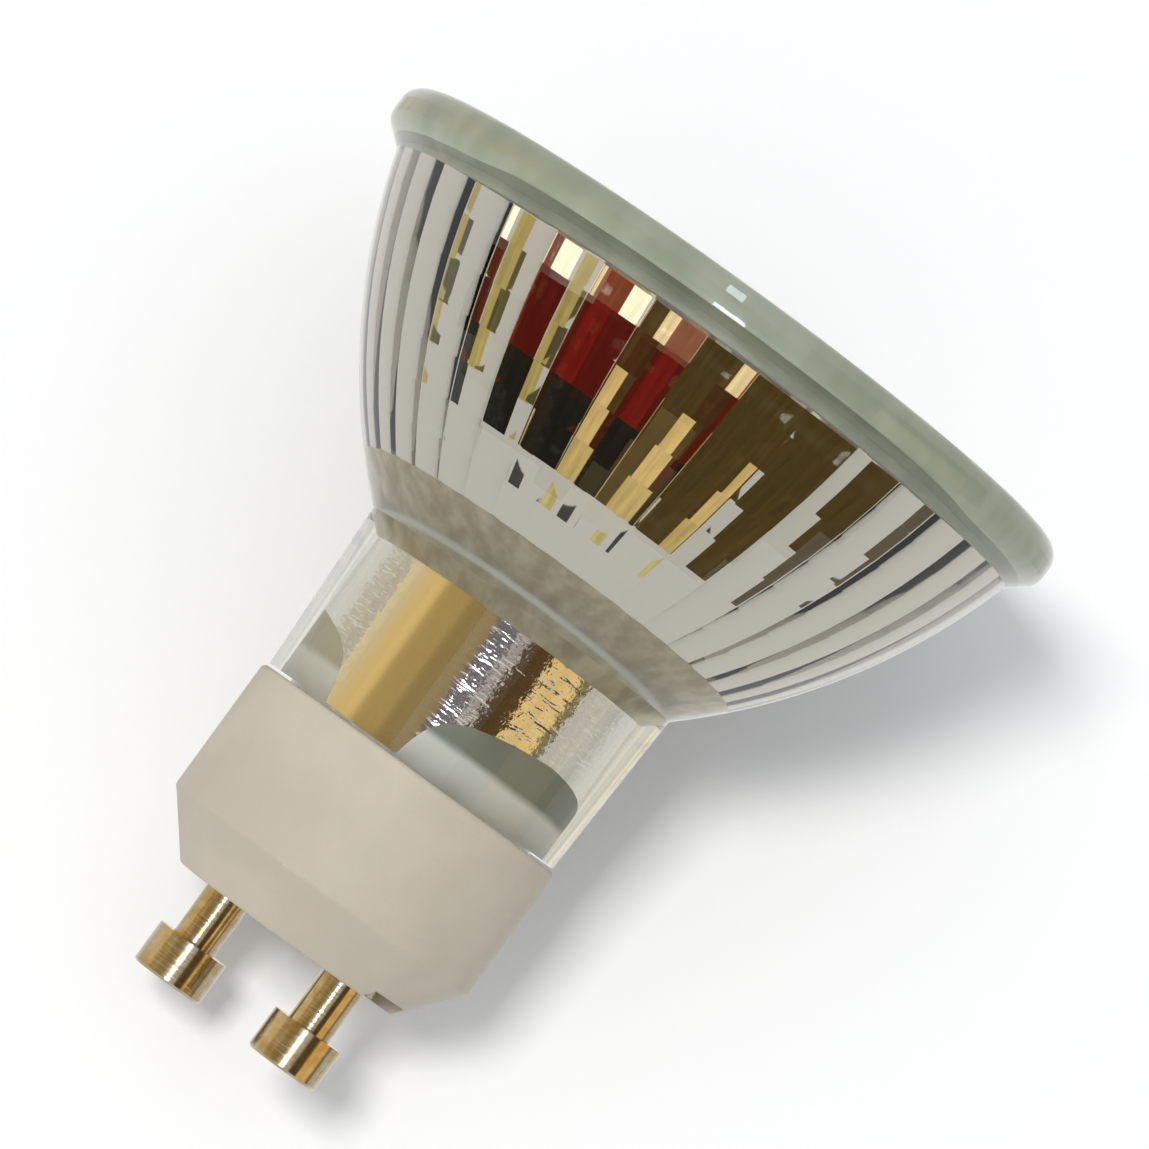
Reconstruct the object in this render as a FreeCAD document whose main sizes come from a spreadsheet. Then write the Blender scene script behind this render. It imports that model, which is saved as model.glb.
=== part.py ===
import FreeCAD, Part
import math
import os
import re
import Sketcher

# Mains reflector lamp, 50 mm, with a two-pin twist cap.
# Z is the lamp's axis, from the front glass at zero towards the pins. The pins lie along X. Millimetres.

SIZES = {
    # rim bead of the pressed glass
    "rim_radius": 25.0,
    "rim_corner": 1.25,
    "rim_band": 0.7,
    "rim_back_rounding": 1.2,
    "rim_flank_angle": 50.0,
    "rim_height": 3.85,
    # bowl, outside and faceted inside
    "rim_overhang": 1.6,
    "bowl_arc_radius": 42.0,
    "bowl_wall": 1.9,
    "facet_start": 2.9,
    "facet_end": 18.9,
    "facet_columns": 36.0,
    "facet_bulge": 0.42,
    "core_share": 0.85,
    "lip_margin": 0.25,
    # neck, floor plate and the end that enters the cap
    "neck_root_radius": 11.4,
    "neck_root_height": 22.9,
    "neck_root_fillet": 0.5,
    "neck_end_radius": 10.9,
    "neck_end_height": 34.55,
    "neck_bore_radius": 7.0,
    "neck_bore_floor": 23.0,
    "neck_bore_fillet": 1.0,
    "spigot_radius": 9.2,
    "spigot_length": 4.95,
    # cover glass and its bond
    "lens_setback": 0.25,
    "lens_thickness": 1.6,
    "lens_clearance": 0.15,
    "lens_edge": 0.2,
    "rebate_land": 2.0,
    "bond_thickness": 0.15,
    "bond_rise": 1.1,
    # ceramic cap
    "cap_gap": 0.2,
    "cap_radius": 11.2,
    "cap_length": 13.05,
    "cap_end_radius": 8.1,
    "cap_bevel_height": 3.8,
    "cap_edge_fillet": 0.35,
    "socket_clearance": 0.3,
    "socket_depth": 5.65,
    "chamber_radius": 7.2,
    "chamber_depth": 4.6,
    # contact pins
    "pin_pitch": 10.0,
    "pin_shank_radius": 1.5,
    "pin_shank_length": 3.7,
    "pin_head_radius": 2.5,
    "pin_head_length": 2.9,
    "pin_head_edge": 0.15,
    "pin_bore_radius": 0.45,
    "pin_countersink_radius": 1.0,
    "pin_countersink_depth": 0.5,
    "pin_hole_clearance": 0.05,
    "pin_collar_radius": 2.2,
    "pin_collar_thickness": 0.65,
    "pin_lip_radius": 2.0,
    "pin_lip_thickness": 0.45,
    "recess_depth": 0.75,
    "recess_clearance": 0.15,
    # quartz capsule
    "bulb_radius": 4.9,
    "bulb_wall": 1.0,
    "bulb_dome_centre": 12.0,
    "bulb_shoulder": 16.6,
    "bulb_foot": 18.5,
    "bulb_cavity_shoulder": 15.9,
    "bulb_cavity_foot": 17.1,
    "nub_radius": 0.8,
    "nub_height": 1.2,
    "pinch_width": 9.4,
    "pinch_thickness": 3.4,
    "pinch_start": 16.0,
    "pinch_reach": 1.45,
    "pinch_waist": 0.5,
    "slot_clearance": 0.4,
    # wires, foils, filament, fuse
    "lead_offset": 2.2,
    "lead_radius": 0.25,
    "lead_rise": 0.8,
    "lead_bend_radius": 1.5,
    "lead_overlap": 1.0,
    "lead_margin": 0.35,
    "filament_radius": 0.4,
    "filament_start": 15.0,
    "filament_arch_centre": 12.2,
    "support_radius": 0.15,
    "support_gap": 0.02,
    "foil_width": 2.0,
    "foil_thickness": 0.1,
    "foil_gap": 0.02,
    "foil_start": 19.5,
    "foil_end": 27.5,
    "fuse_radius": 1.0,
    "fuse_length": 3.5,
    "fuse_gap": 0.6,
    "sleeve_radius": 0.65,
    "sleeve_gap": 0.2,
    "sleeve_length": 4.0,
    # potting in the neck
    "potting_depth": 7.2,
    # solder in the pins
    "solder_setback": 0.05,
    "solder_crown_radius": 0.5,
}
FACET_ROWS = 7

# Sizes that follow from the driving ones, as expressions on the sheet.
BOWL_RIM_RADIUS = "(rim_radius - rim_overhang)"
REBATE_RADIUS = "(rim_radius - rebate_land)"
CHORD_ACROSS = "(rim_radius - rim_overhang - neck_root_radius)"
CHORD_ALONG = "(neck_root_height - rim_height)"
CHORD = "sqrt(%s^2 + %s^2)" % (CHORD_ACROSS, CHORD_ALONG)
CHORD_REACH = "sqrt(bowl_arc_radius^2 - %s^2 / 4)" % CHORD
ARC_CENTRE_R = "((%s + neck_root_radius) / 2 - %s * %s / %s)" % (
    BOWL_RIM_RADIUS, CHORD_REACH, CHORD_ALONG, CHORD)
ARC_CENTRE_Z = "((rim_height + neck_root_height) / 2 - %s * %s / %s)" % (CHORD_REACH, CHORD_ACROSS, CHORD)
INNER_RADIUS = "(bowl_arc_radius - bowl_wall)"
FACET_ANGLE_START = "asin((facet_start - %s) / %s)" % (ARC_CENTRE_Z, INNER_RADIUS)
FACET_ANGLE_END = "asin((facet_end - %s) / %s)" % (ARC_CENTRE_Z, INNER_RADIUS)
SEAT = "(lens_setback + lens_thickness + bond_thickness)"
SPIGOT_END = "(neck_end_height + spigot_length)"
CAP_START = "(neck_end_height + cap_gap)"
CAP_END = "(neck_end_height + cap_gap + cap_length)"
SOCKET_RADIUS = "(spigot_radius + socket_clearance)"
SOCKET_FLOOR = "(neck_end_height + cap_gap + socket_depth)"
CHAMBER_FLOOR = "(neck_end_height + cap_gap + socket_depth + chamber_depth)"
RECESS_FLOOR = "(neck_end_height + cap_gap + cap_length - recess_depth)"
HEAD_START = "(neck_end_height + cap_gap + cap_length + pin_shank_length)"
PIN_END = "(neck_end_height + cap_gap + cap_length + pin_shank_length + pin_head_length)"
PIN_OFFSET = "(pin_pitch / 2)"
BEND_RUN = "(lead_bend_radius * tan(22.5))"
BEND_SLOPE = "(lead_bend_radius * tan(22.5) * cos(45))"
BEND_RISE = "(pin_pitch / 2 - lead_offset)"
PINCH_END = "(neck_end_height + pinch_reach)"
FUSE_START = "(neck_end_height + pinch_reach + fuse_gap)"
FUSE_END = "(neck_end_height + pinch_reach + fuse_gap + fuse_length)"
BEND_START = "(neck_end_height + pinch_reach + fuse_gap + fuse_length + lead_rise)"
POTTING_START = "(neck_end_height + spigot_length - potting_depth)"

WORD = re.compile(r"[a-z][a-z_]+")

doc = FreeCAD.newDocument("ReflectorLamp")
sheet = doc.addObject("Spreadsheet::Sheet", "Sizes")
for row, (alias, size) in enumerate(SIZES.items(), start=1):
    sheet.set("A%d" % row, alias.replace("_", " "))
    sheet.set("B%d" % row, str(size))
    sheet.setAlias("B%d" % row, alias)
doc.recompute()


def bound(text):
    """An expression with each size's word turned into its cell on the sheet."""
    return WORD.sub(lambda word: "Sizes." + word.group() if word.group() in SIZES else word.group(), text)


def value(text):
    """The number that an expression gives now."""
    return float(sheet.evalExpression(bound(text)))


def facet_angle(step):
    return "(%s + (%s - %s) * %d / %d)" % (
        FACET_ANGLE_START, FACET_ANGLE_END, FACET_ANGLE_START, step, FACET_ROWS)


def ridge_radius(step):
    """Distance of the facet ridges from the axis at a border between two rows."""
    return "(%s + %s * cos(%s))" % (ARC_CENTRE_R, INNER_RADIUS, facet_angle(step))


def row_height(step):
    """Height of a border between two rows of facets."""
    return "(%s + %s * sin(%s))" % (ARC_CENTRE_Z, INNER_RADIUS, facet_angle(step))


def new_body(name):
    body = doc.addObject("PartDesign::Body", name)
    body.Label = name
    return body


def origin_feature(body, role):
    return next(feature for feature in body.Origin.OriginFeatures if feature.Role == role)


def arc_edge(start, end, radius):
    """Arc between two points, its centre left of the way from start to end, or right where radius is below 0."""
    chord = end.sub(start)
    middle = start.add(end) * 0.5
    left = FreeCAD.Vector(-chord.y, chord.x, 0).normalize()
    reach = math.sqrt(radius * radius - chord.Length * chord.Length / 4)
    centre = middle.add(left * math.copysign(reach, radius))
    first, last = (start, end) if radius > 0 else (end, start)
    angles = [math.atan2(point.y - centre.y, point.x - centre.x) for point in (first, last)]
    circle = Part.Circle(centre, FreeCAD.Vector(0, 0, 1), abs(radius))
    return Part.ArcOfCircle(circle, angles[0], angles[1] if angles[1] > angles[0] else angles[1] + 2 * math.pi)


def new_sketch(body, name, role, height=None):
    sketch = body.newObject("Sketcher::SketchObject", name)
    sketch.AttachmentSupport = [(origin_feature(body, role), "")]
    sketch.MapMode = "FlatFace"
    if height:
        sketch.setExpression("AttachmentOffset.Base.z", bound(height))
    return sketch


def hold(sketch, rules):
    """Adds constraints in one go; a rule is a constraint and the expression that drives it, or None."""
    first = sketch.addConstraint([constraint for constraint, text in rules])[0]
    for index, (constraint, text) in enumerate(rules, start=first):
        if text:
            sketch.setExpression("Constraints[%d]" % index, bound(text))


def chain_rules(starts, closed):
    """Constraints that join each edge's end to the start of the next."""
    count = len(starts)
    return [
        (Sketcher.Constraint(
            "Coincident", index, 3 - starts[index], (index + 1) % count, starts[(index + 1) % count]), None)
        for index in range(count if closed else count - 1)
    ]


def place_rules(edge, vertex, across, along):
    """Constraints that hold a point at two expressions from the sketch's origin."""
    rules = []
    for kind, axis, place in (("DistanceX", -2, across), ("DistanceY", -1, along)):
        if place == "0":
            rules.append((Sketcher.Constraint("PointOnObject", edge, vertex, axis), None))
        else:
            rules.append((Sketcher.Constraint(kind, -1, 1, edge, vertex, value(place)), place))
    return rules


def outline(body, name, role, corners, height=None, closed=True):
    """Sketch through corners given as expressions; a third one is the radius of the arc to the next corner."""
    sketch = new_sketch(body, name, role, height)
    points = [FreeCAD.Vector(value(corner[0]), value(corner[1]), 0) for corner in corners]
    edges = len(corners) if closed else len(corners) - 1
    shapes, starts, rules = [], [], []
    for index in range(edges):
        corner = corners[index]
        start, end = points[index], points[(index + 1) % len(points)]
        if len(corner) > 2:
            radius = value(corner[2])
            shapes.append(arc_edge(start, end, radius))
            starts.append(1 if radius > 0 else 2)
            rules.append((Sketcher.Constraint("Radius", index, abs(radius)), "abs(%s)" % corner[2]))
        else:
            shapes.append(Part.LineSegment(start, end))
            starts.append(1)
    rules += chain_rules(starts, closed)
    for index, corner in enumerate(corners[:edges]):
        rules += place_rules(index, starts[index], corner[0], corner[1])
    if not closed:
        rules += place_rules(edges - 1, 3 - starts[-1], corners[-1][0], corners[-1][1])
    sketch.addGeometry(shapes)
    hold(sketch, rules)
    return sketch


def circle_sketch(body, name, radius, height, across="0"):
    """Circle at a height, its centre on the X axis."""
    sketch = new_sketch(body, name, "XY_Plane", height)
    sketch.addGeometry(Part.Circle(FreeCAD.Vector(value(across), 0, 0), FreeCAD.Vector(0, 0, 1), value(radius)))
    hold(sketch, [(Sketcher.Constraint("Radius", 0, value(radius)), radius)] + place_rules(0, 3, across, "0"))
    return sketch


def turned(body, name, corners, kind="Revolution"):
    """Solid of revolution, or a groove, from an outline given as radius and height."""
    sketch = outline(body, name + "Outline", "XZ_Plane", corners)
    feature = body.newObject("PartDesign::" + kind, name)
    feature.Profile = sketch
    feature.ReferenceAxis = (sketch, ["V_Axis"])
    feature.Angle = 360
    return feature


def pushed(body, name, kind, sketch, length, reversed_way=False):
    """Pad or pocket of a sketch."""
    feature = body.newObject("PartDesign::" + kind, name)
    feature.Profile = sketch
    feature.setExpression("Length", bound(length))
    feature.Reversed = reversed_way
    return feature


def rectangle(width, depth, across="0"):
    """Corners of a rectangle about a point on the X axis."""
    return [
        ("%s - %s / 2" % (across, width), "-%s / 2" % depth),
        ("%s + %s / 2" % (across, width), "-%s / 2" % depth),
        ("%s + %s / 2" % (across, width), "%s / 2" % depth),
        ("%s - %s / 2" % (across, width), "%s / 2" % depth),
    ]


def round_edges(feature, radius, height):
    """Names of a feature's full circular edges with the given radius and height."""
    names = []
    for index, edge in enumerate(feature.Shape.Edges, start=1):
        curve = edge.Curve
        if isinstance(curve, Part.Circle) and abs(curve.Radius - value(radius)) < 0.001:
            if abs(curve.Center.z - value(height)) < 0.001:
                names.append("Edge%d" % index)
    return names


def filleted(body, name, base, radius, places):
    """Fillet on round edges given as pairs of radius and height."""
    doc.recompute()
    names = [edge for place in places for edge in round_edges(base, *place)]
    feature = body.newObject("PartDesign::Fillet", name)
    feature.Base = (base, names)
    feature.setExpression("Radius", bound(radius))
    return feature


def facet_ring(step):
    """Closed wire of the faceted bowl at a border between two rows: one inward arc for each column."""
    radius = value(ridge_radius(step))
    height = value(row_height(step))
    count = int(SIZES["facet_columns"])
    corners = [FreeCAD.Vector(math.cos(turn), math.sin(turn), 0) * radius
               for turn in ((2 * index + 1) * math.pi / count for index in range(count))]
    arcs = [arc_edge(corners[index - 1], corners[index], -value("facet_bulge") * radius).toShape()
            for index in range(count)]
    wire = Part.Wire(Part.sortEdges(arcs)[0])
    wire.translate(FreeCAD.Vector(0, 0, height))
    return wire


def make_reflector():
    """Pressed glass: rim bead, bowl with facets inside, floor plate with the capsule's slot, hollow neck."""
    body = new_body("GlassBlank")
    flank_run = "rim_back_rounding * cos(rim_flank_angle)"
    flank_rise = "rim_back_rounding * sin(rim_flank_angle)"
    core = [("core_share * " + ridge_radius(step), row_height(step)) for step in range(FACET_ROWS, -1, -1)]
    lip_radius = ridge_radius(0) + " + lip_margin"
    blank = turned(body, "Blank", [
        ("rim_radius - rim_corner", "0", "rim_corner"),
        ("rim_radius", "rim_corner"),
        ("rim_radius", "rim_corner + rim_band", "rim_back_rounding"),
        ("rim_radius - rim_back_rounding + " + flank_run, "rim_corner + rim_band + " + flank_rise),
        (BOWL_RIM_RADIUS, "rim_height", "bowl_arc_radius"),
        ("neck_root_radius", "neck_root_height"),
        ("neck_end_radius", "neck_end_height"),
        ("spigot_radius", "neck_end_height"),
        ("spigot_radius", SPIGOT_END),
        ("neck_bore_radius", SPIGOT_END),
        ("neck_bore_radius", "neck_bore_floor + neck_bore_fillet", "-neck_bore_fillet"),
        ("neck_bore_radius - neck_bore_fillet", "neck_bore_floor"),
        ("0", "neck_bore_floor"),
        ("0", "facet_end"),
    ] + core + [
        (lip_radius, "facet_start"),
        (lip_radius, SEAT),
        (REBATE_RADIUS, SEAT),
        (REBATE_RADIUS, "0"),
    ])
    filleted(body, "NeckRootFillet", blank, "neck_root_fillet", [("neck_root_radius", "neck_root_height")])
    slot = outline(body, "CapsuleSlotOutline", "XY_Plane", rectangle(
        "(pinch_width + 2 * slot_clearance)", "(pinch_thickness + 2 * slot_clearance)"), height="facet_end")
    pushed(body, "CapsuleSlot", "Pocket", slot, "neck_bore_floor - facet_end", reversed_way=True)

    # The facets are a form of their own, because each of its sections holds an arc for every column.
    form = doc.addObject("Part::Feature", "FacetForm")
    form.Shape = Part.makeLoft([facet_ring(step) for step in range(FACET_ROWS + 1)], True, True)
    reflector = doc.addObject("Part::Cut", "Reflector")
    reflector.Label = "reflector"
    reflector.Base = body
    reflector.Tool = form
    return [reflector]


def make_lens():
    """Cover glass in the rebate of the rim, and the clear bond under and around it."""
    lens = new_body("front_lens")
    radius = "(rim_radius - rebate_land - lens_clearance)"
    back = "(lens_setback + lens_thickness)"
    turned(lens, "LensDisc", [
        ("0", "lens_setback"),
        (radius + " - lens_edge", "lens_setback"),
        (radius, "lens_setback + lens_edge"),
        (radius, back),
        ("0", back),
    ])
    bond = new_body("lens_adhesive")
    turned(bond, "BondRing", [
        (radius, back + " - bond_rise"),
        (REBATE_RADIUS, back + " - bond_rise"),
        (REBATE_RADIUS, SEAT),
        (ridge_radius(0) + " + lip_margin", SEAT),
        (ridge_radius(0) + " + lip_margin", back),
        (radius, back),
    ])
    return [lens, bond]


def make_cap():
    """Ceramic cap: socket for the neck, wiring chamber, bevelled end with a recess and a hole for each pin."""
    body = new_body("ceramic_base")
    blank = turned(body, "CapBlank", [
        (SOCKET_RADIUS, CAP_START),
        ("cap_radius", CAP_START),
        ("cap_radius", CAP_END + " - cap_bevel_height"),
        ("cap_end_radius", CAP_END),
        ("0", CAP_END),
        ("0", CHAMBER_FLOOR),
        ("chamber_radius", CHAMBER_FLOOR),
        ("chamber_radius", SOCKET_FLOOR),
        (SOCKET_RADIUS, SOCKET_FLOOR),
    ])
    filleted(body, "CapEdges", blank, "cap_edge_fillet", [
        ("cap_radius", CAP_START), ("cap_radius", CAP_END + " - cap_bevel_height"), ("cap_end_radius", CAP_END)])
    doc.recompute()
    recess_width = "(2 * (pin_collar_radius + recess_clearance))"
    for side, sign in (("Left", "-1"), ("Right", "1")):
        centre = "%s * %s" % (sign, PIN_OFFSET)
        round_end = circle_sketch(body, "RecessEnd%s" % side, "pin_collar_radius + recess_clearance", CAP_END, centre)
        pushed(body, "PinRecess%s" % side, "Pocket", round_end, "recess_depth")
        channel = outline(body, "RecessChannel%s" % side, "XY_Plane", rectangle(
            "cap_radius", recess_width, "%s * (%s + cap_radius / 2)" % (sign, PIN_OFFSET)), height=CAP_END)
        pushed(body, "PinRecessChannel%s" % side, "Pocket", channel, "recess_depth")
        hole = circle_sketch(body, "PinHoleOutline%s" % side, "pin_shank_radius + pin_hole_clearance", CAP_END, centre)
        pushed(body, "PinHole%s" % side, "Pocket", hole, CAP_END + " - " + CHAMBER_FLOOR)
    return [body]


def make_base_cement():
    """Cement between the neck's end and the cap's socket."""
    body = new_body("base_cement")
    turned(body, "CementRing", [
        ("spigot_radius", CAP_START),
        (SOCKET_RADIUS, CAP_START),
        (SOCKET_RADIUS, SOCKET_FLOOR),
        ("chamber_radius", SOCKET_FLOOR),
        ("chamber_radius", SPIGOT_END),
        ("spigot_radius", SPIGOT_END),
    ])
    return [body]


def make_pin(side, sign):
    """Hollow contact pin: head, shank, collar in its recess and a lip swaged inside the cap."""
    body = new_body("contact_pin_" + side)
    turned(body, "PinBlank", [
        ("pin_bore_radius", CHAMBER_FLOOR + " - pin_lip_thickness"),
        ("pin_lip_radius", CHAMBER_FLOOR + " - pin_lip_thickness"),
        ("pin_lip_radius", CHAMBER_FLOOR),
        ("pin_shank_radius", CHAMBER_FLOOR),
        ("pin_shank_radius", RECESS_FLOOR),
        ("pin_collar_radius", RECESS_FLOOR),
        ("pin_collar_radius", RECESS_FLOOR + " + pin_collar_thickness"),
        ("pin_shank_radius", RECESS_FLOOR + " + pin_collar_thickness"),
        ("pin_shank_radius", HEAD_START),
        ("pin_head_radius", HEAD_START),
        ("pin_head_radius", PIN_END + " - pin_head_edge"),
        ("pin_head_radius - pin_head_edge", PIN_END),
        ("pin_countersink_radius", PIN_END),
        ("pin_bore_radius", PIN_END + " - pin_countersink_depth"),
    ])
    body.setExpression("Placement.Base.x", bound("%s * %s" % (sign, PIN_OFFSET)))
    solder = new_body("pin_solder_" + side)
    turned(solder, "SolderPlug", [
        ("0", PIN_END + " - pin_countersink_depth"),
        ("pin_bore_radius", PIN_END + " - pin_countersink_depth"),
        ("pin_countersink_radius", PIN_END),
        ("solder_crown_radius", PIN_END + " - solder_setback"),
        ("0", PIN_END + " - solder_setback"),
    ])
    solder.setExpression("Placement.Base.x", bound("%s * %s" % (sign, PIN_OFFSET)))
    return [body, solder]


def make_pins():
    return make_pin("left", "-1") + make_pin("right", "1")


def make_rod(name, radius, start, end, across="0", aside="0"):
    """Straight round rod along the axis, placed beside it."""
    rod = doc.addObject("Part::Cylinder", name)
    rod.Label = name
    rod.setExpression("Radius", bound(radius))
    rod.setExpression("Height", bound("%s - %s" % (end, start)))
    rod.setExpression("Placement.Base.x", bound(across))
    rod.setExpression("Placement.Base.y", bound(aside))
    rod.setExpression("Placement.Base.z", bound(start))
    return rod


def make_pipe(name, radius, route, start):
    """Round wire along an open route in the XZ plane; it starts at the route's first corner, going up."""
    body = new_body(name)
    ring = circle_sketch(body, "WireSection", radius, start[1], start[0])
    path = outline(body, "WireRoute", "XZ_Plane", route, closed=False)
    pipe = body.newObject("PartDesign::AdditivePipe", "Wire")
    pipe.Profile = ring
    pipe.Spine = path
    return body


def bent_route(start, sign):
    """Route of a lead: straight up, out to its pin with two bends, and up to the solder."""
    offset = "%s * lead_offset" % sign
    pin = "%s * %s" % (sign, PIN_OFFSET)
    turn = "%s * lead_bend_radius" % ("-1" if sign == "1" else "1")
    back = "%s * lead_bend_radius" % sign
    return [
        (offset, start),
        (offset, "%s - %s" % (BEND_START, BEND_RUN), turn),
        ("%s + %s * %s" % (offset, sign, BEND_SLOPE), "%s + %s" % (BEND_START, BEND_SLOPE)),
        ("%s - %s * %s" % (pin, sign, BEND_SLOPE), "%s + %s - %s" % (BEND_START, BEND_RISE, BEND_SLOPE), back),
        (pin, "%s + %s + %s" % (BEND_START, BEND_RISE, BEND_RUN)),
        (pin, PIN_END + " - pin_countersink_depth"),
    ]


def make_wiring():
    """Filament, its support, the leads and foils, the sleeve on the left lead and the fuse in the right one."""
    filament = make_pipe("filament", "filament_radius", [
        ("-lead_offset", "filament_start"),
        ("-lead_offset", "filament_arch_centre", "lead_offset"),
        ("0", "filament_arch_centre - lead_offset", "lead_offset"),
        ("lead_offset", "filament_arch_centre"),
        ("lead_offset", "filament_start"),
    ], ("-lead_offset", "filament_start"))
    crown = "(filament_arch_centre - lead_offset + filament_radius + support_gap)"
    pieces = [filament, make_rod("filament_support", "support_radius", crown, "foil_start")]
    for side, sign in (("left", "-1"), ("right", "1")):
        offset = "%s * lead_offset" % sign
        pieces.append(make_rod(
            "inner_lead_" + side, "lead_radius", "filament_start", "(foil_start + lead_overlap)", offset))
        foil = doc.addObject("Part::Box", "foil_" + side)
        foil.Label = "foil_" + side
        foil.setExpression("Length", bound("foil_width"))
        foil.setExpression("Width", bound("foil_thickness"))
        foil.setExpression("Height", bound("foil_end - foil_start"))
        foil.setExpression("Placement.Base.x", bound("%s - foil_width / 2" % offset))
        foil.setExpression("Placement.Base.y", bound("lead_radius + foil_gap"))
        foil.setExpression("Placement.Base.z", bound("foil_start"))
        pieces.append(foil)
    lead_start = "(foil_end - lead_overlap)"
    pieces.append(make_pipe("outer_lead_left", "lead_radius", bent_route(lead_start, "-1"),
                            ("-lead_offset", lead_start)))
    pieces.append(make_rod("outer_lead_right", "lead_radius", lead_start, FUSE_START, "lead_offset"))
    pieces.append(make_rod("fuse", "fuse_radius", FUSE_START, FUSE_END, "lead_offset"))
    pieces.append(make_pipe("fuse_lead", "lead_radius", bent_route(FUSE_END, "1"), ("lead_offset", FUSE_END)))
    sleeve = new_body("lead_sleeve")
    sleeve_start = "(%s + sleeve_gap)" % PINCH_END
    turned(sleeve, "SleeveTube", [
        ("lead_radius", sleeve_start),
        ("sleeve_radius", sleeve_start),
        ("sleeve_radius", sleeve_start + " + sleeve_length"),
        ("lead_radius", sleeve_start + " + sleeve_length"),
    ])
    sleeve.setExpression("Placement.Base.x", bound("-lead_offset"))
    pieces.append(sleeve)
    return pieces


def cut_out(name, base, tools):
    """What is left of a base once the pieces that are sealed into it are taken out."""
    group = doc.addObject("Part::Compound", name + "Inserts")
    group.Links = tools
    rest = doc.addObject("Part::Cut", name)
    rest.Label = name
    rest.Base = base
    rest.Tool = group
    return rest


def make_capsule(inserts):
    """Quartz bulb with exhaust nub, hollow inside, and a flat pinch sealed round leads and foils."""
    body = new_body("QuartzBlank")
    dome_height = "(bulb_dome_centre - sqrt(bulb_radius^2 - nub_radius^2))"
    turned(body, "Bulb", [
        ("0", dome_height + " - nub_height", "nub_radius"),
        ("nub_radius", dome_height + " - nub_height + nub_radius"),
        ("nub_radius", dome_height, "bulb_radius"),
        ("bulb_radius", "bulb_dome_centre"),
        ("bulb_radius", "bulb_shoulder"),
        ("pinch_thickness / 2", "bulb_foot"),
        ("0", "bulb_foot"),
    ])
    waist = "(pinch_thickness - 2 * pinch_waist)"
    rib = "(pinch_width / 2 - pinch_thickness / 2)"
    pinch = outline(body, "PinchOutline", "XY_Plane", [
        ("-pinch_width / 2", "-pinch_thickness / 2"),
        ("-" + rib, "-pinch_thickness / 2"),
        ("-%s + pinch_waist" % rib, "-%s / 2" % waist),
        ("%s - pinch_waist" % rib, "-%s / 2" % waist),
        (rib, "-pinch_thickness / 2"),
        ("pinch_width / 2", "-pinch_thickness / 2"),
        ("pinch_width / 2", "pinch_thickness / 2"),
        (rib, "pinch_thickness / 2"),
        ("%s - pinch_waist" % rib, "%s / 2" % waist),
        ("-%s + pinch_waist" % rib, "%s / 2" % waist),
        ("-" + rib, "pinch_thickness / 2"),
        ("-pinch_width / 2", "pinch_thickness / 2"),
    ], height="pinch_start")
    pushed(body, "Pinch", "Pad", pinch, PINCH_END + " - pinch_start")
    inside = "(bulb_radius - bulb_wall)"
    turned(body, "BulbCavity", [
        ("0", "bulb_dome_centre - " + inside, inside),
        (inside, "bulb_dome_centre"),
        (inside, "bulb_cavity_shoulder"),
        ("lead_offset + lead_radius + lead_margin", "bulb_cavity_foot"),
        ("0", "bulb_cavity_foot"),
    ], kind="Groove")
    return cut_out("capsule_glass", body, inserts)


def make_potting(inserts):
    """Cement that fills the end of the neck round the pinch, the leads, the sleeve and the fuse."""
    body = new_body("PottingBlank")
    turned(body, "PottingPlug", [
        ("0", POTTING_START),
        ("neck_bore_radius", POTTING_START),
        ("neck_bore_radius", SPIGOT_END),
        ("0", SPIGOT_END),
    ])
    return cut_out("capsule_cement", body, inserts)


parts = make_reflector() + make_lens() + make_cap() + make_base_cement() + make_pins()
wiring = make_wiring()
named = {piece.Label: piece for piece in wiring}
sealed = ["filament_support", "inner_lead_left", "inner_lead_right", "foil_left", "foil_right",
          "outer_lead_left", "outer_lead_right"]
capsule = make_capsule([named[name] for name in sealed])
potted = ["outer_lead_left", "outer_lead_right", "fuse", "lead_sleeve"]
potting = make_potting([doc.getObject("QuartzBlank")] + [named[name] for name in potted])
parts += wiring + [capsule, potting]

doc.recompute()
for thing in doc.Objects:
    if "Invalid" in thing.State or "Error" in thing.State:
        raise RuntimeError("%s failed: %s" % (thing.Name, thing.State))
os.makedirs("parts", exist_ok=True)
for part in parts:
    if part.Shape.isNull() or not part.Shape.isValid():
        raise RuntimeError("%s has no valid shape" % part.Label)
    part.Shape.exportStep("parts/%s.step" % part.Label)
    print(part.Label, len(part.Shape.Solids), round(part.Shape.Volume, 2), len(part.Shape.Faces))
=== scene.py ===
import math

import bmesh
import bpy
from mathutils import Matrix, Vector


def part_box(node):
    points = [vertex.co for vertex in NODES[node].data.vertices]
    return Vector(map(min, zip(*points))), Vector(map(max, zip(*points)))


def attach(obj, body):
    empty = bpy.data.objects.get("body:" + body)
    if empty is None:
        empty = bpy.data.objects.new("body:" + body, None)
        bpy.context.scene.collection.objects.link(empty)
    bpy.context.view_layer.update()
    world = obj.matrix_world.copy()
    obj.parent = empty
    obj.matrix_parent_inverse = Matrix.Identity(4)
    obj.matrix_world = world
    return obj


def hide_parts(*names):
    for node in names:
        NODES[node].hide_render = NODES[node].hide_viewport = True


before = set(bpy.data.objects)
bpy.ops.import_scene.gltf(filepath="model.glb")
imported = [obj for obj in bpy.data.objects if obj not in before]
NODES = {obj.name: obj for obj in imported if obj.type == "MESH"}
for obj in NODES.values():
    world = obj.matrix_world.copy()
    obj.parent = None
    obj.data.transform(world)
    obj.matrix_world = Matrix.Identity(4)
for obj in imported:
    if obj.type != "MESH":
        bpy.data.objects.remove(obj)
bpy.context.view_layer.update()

# Looks and studio of a mains reflector lamp: faceted glass bowl, cover glass, ceramic cap, two headed pins.
# Metres. Z is the lamp's axis, from the rim's front face at zero to the pins, which stand side by side in X.

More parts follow.
